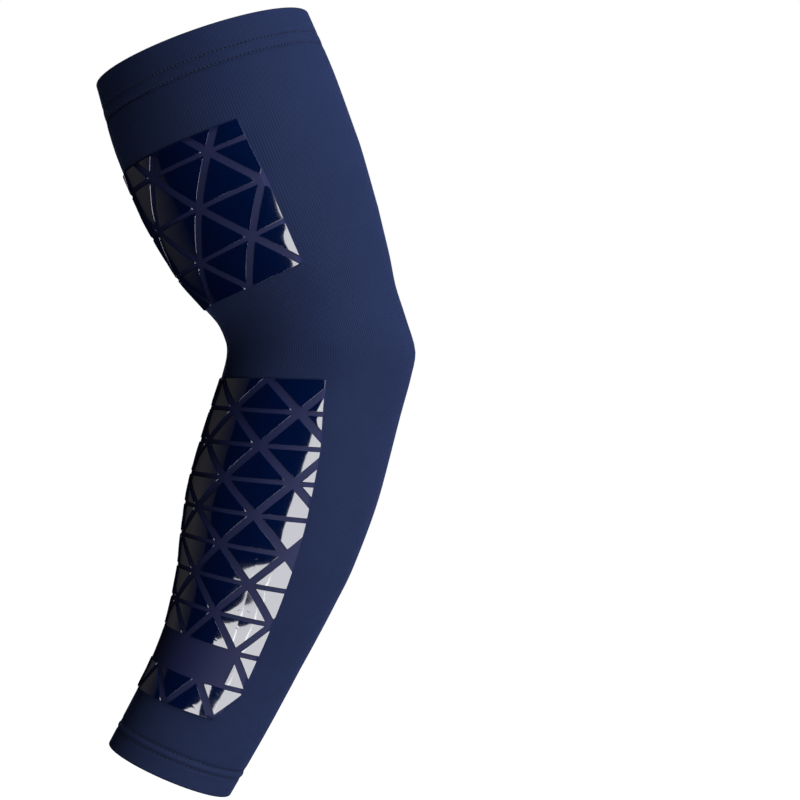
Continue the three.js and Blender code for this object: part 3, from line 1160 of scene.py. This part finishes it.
def add_light(settings, power):
    data = bpy.data.lights.new(settings.name, "AREA")
    data.shape = "RECTANGLE"
    data.size = settings.width
    data.size_y = settings.tall
    data.energy = power
    data.spread = settings.spread
    data.color = settings.colour
    light = bpy.data.objects.new(settings.name, data)
    bpy.context.scene.collection.objects.link(light)
    light.location = settings.place
    beam = Vector(settings.aim) - Vector(settings.place)
    facing = beam.to_track_quat("-Z", "Y").to_matrix().to_4x4()
    light.rotation_euler = (facing @ Matrix.Rotation(settings.lean, 4, "Z")).to_euler()
    light.visible_camera = False
    light.visible_diffuse = settings.on_cloth
    light.visible_glossy = settings.on_gloss


def studio_world(ambience):
    """White behind the object for the camera, and dim navy light all around for everything else"""
    world = bpy.data.worlds.new("studio")
    world.use_nodes = True
    tree = world.node_tree
    tree.nodes.clear()
    seen = add_node(tree, "ShaderNodeLightPath").outputs["Is Camera Ray"]
    white = add_node(tree, "ShaderNodeBackground", {"Color": (1.0, 1.0, 1.0, 1.0), "Strength": 1.0})
    dim = add_node(tree, "ShaderNodeBackground", {"Color": (0.03, 0.055, 0.16, 1.0), "Strength": ambience})
    mix = add_node(tree, "ShaderNodeMixShader", {0: seen, 1: dim.outputs[0], 2: white.outputs[0]})
    add_node(tree, "ShaderNodeOutputWorld", {"Surface": mix.outputs[0]})
    bpy.context.scene.world = world


def floor_material():
    """Pale matte floor paint that reads as white as the backdrop"""
    material, tree, shader = new_material("pale_floor")
    place = object_place(tree)
    speckle = noise(tree, place, scale=3.0, detail=2.0)
    set_inputs(tree, shader, {
        "Base Color": blend_colours(tree, speckle, (0.86, 0.86, 0.86), (0.9, 0.9, 0.9)),
        "Roughness": 0.9,
        "Emission Color": (1.0, 1.0, 1.0, 1.0),
        "Emission Strength": 1.0,
    })
    return material


class SLEEVE_OT_stage(bpy.types.Operator):
    """Sets up the pale floor, the soft studio light and the camera"""

    bl_idname = "arm_sleeve.stage"
    bl_label = "Studio Stage"

    def execute(self, context):
        settings = context.scene.stage_settings
        camera_data = bpy.data.cameras.new("camera")
        camera_data.lens = settings.lens
        camera_data.sensor_width = 36.0
        camera = bpy.data.objects.new("camera", camera_data)
        context.scene.collection.objects.link(camera)
        camera.location = CAMERA_PLACE
        camera.rotation_euler = (math.radians(90.0), 0.0, -settings.turn)
        context.scene.camera = camera
        context.scene.view_settings.view_transform = "Standard"
        add_light(MAIN_LIGHT, settings.main)
        add_light(FILL_LIGHT, settings.fill)
        add_light(BACK_LIGHT, settings.back)
        add_light(TALL_CARD, settings.tall_card)
        add_light(LOW_CARD, settings.low_card)
        add_light(FRONT_STRIP, settings.front_strip)
        add_light(LEFT_CARD, settings.left_card)
        studio_world(settings.ambience)
        bm = bmesh.new()
        bmesh.ops.create_grid(bm, x_segments=1, y_segments=1, size=FLOOR_HALF_SIDE)
        bmesh.ops.translate(bm, verts=bm.verts, vec=FLOOR_PLACE)
        mesh = bpy.data.meshes.new("studio_floor")
        bm.to_mesh(mesh)
        bm.free()
        mesh.materials.append(floor_material())
        floor = bpy.data.objects.new("studio_floor", mesh)
        context.scene.collection.objects.link(floor)
        floor.visible_glossy = False
        floor.visible_diffuse = False
        floor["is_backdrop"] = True
        return {"FINISHED"}


# Sidebar and registration

class SLEEVE_PT_sidebar(bpy.types.Panel):
    """Lists the steps that build the sleeve, and their sizes and colours"""

    bl_label = "Arm Sleeve"
    bl_idname = "SLEEVE_PT_sidebar"
    bl_space_type = "VIEW_3D"
    bl_region_type = "UI"
    bl_category = "Arm Sleeve"

    def draw(self, context):
        layout = self.layout
        for step in STEPS:
            layout.operator(step.bl_idname)
        for name in SETTINGS:
            group = getattr(context.scene, name)
            box = layout.box()
            for setting in group.__annotations__:
                box.prop(group, setting)


STEPS = (
    SLEEVE_OT_hems,
    SLEEVE_OT_stitches,
    SLEEVE_OT_tube,
    SLEEVE_OT_grip_panels,
    SLEEVE_OT_stage,
)
SETTINGS = {
    "sleeve_sizes": SleeveSizes,
    "stitch_sizes": StitchSizes,
    "panel_sizes": PanelSizes,
    "cloth_colours": ClothColours,
    "stage_settings": StageSettings,
}


def register():
    for name, group in SETTINGS.items():
        bpy.utils.register_class(group)
        setattr(bpy.types.Scene, name, PointerProperty(type=group))
    for step in STEPS:
        bpy.utils.register_class(step)
    bpy.utils.register_class(SLEEVE_PT_sidebar)


def unregister():
    bpy.utils.unregister_class(SLEEVE_PT_sidebar)
    for step in reversed(STEPS):
        bpy.utils.unregister_class(step)
    for name, group in SETTINGS.items():
        delattr(bpy.types.Scene, name)
        bpy.utils.unregister_class(group)


def main():
    register()
    bpy.ops.arm_sleeve.hems()
    bpy.ops.arm_sleeve.stitches()
    bpy.ops.arm_sleeve.tube()
    bpy.ops.arm_sleeve.grip_panels()
    bpy.ops.arm_sleeve.stage()
    boxes = {"cad_box": cad_box, "visual_box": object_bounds()}
    {name: [list(corner) for corner in box] for name, box in boxes.items()}


if __name__ == "__main__":
    main()
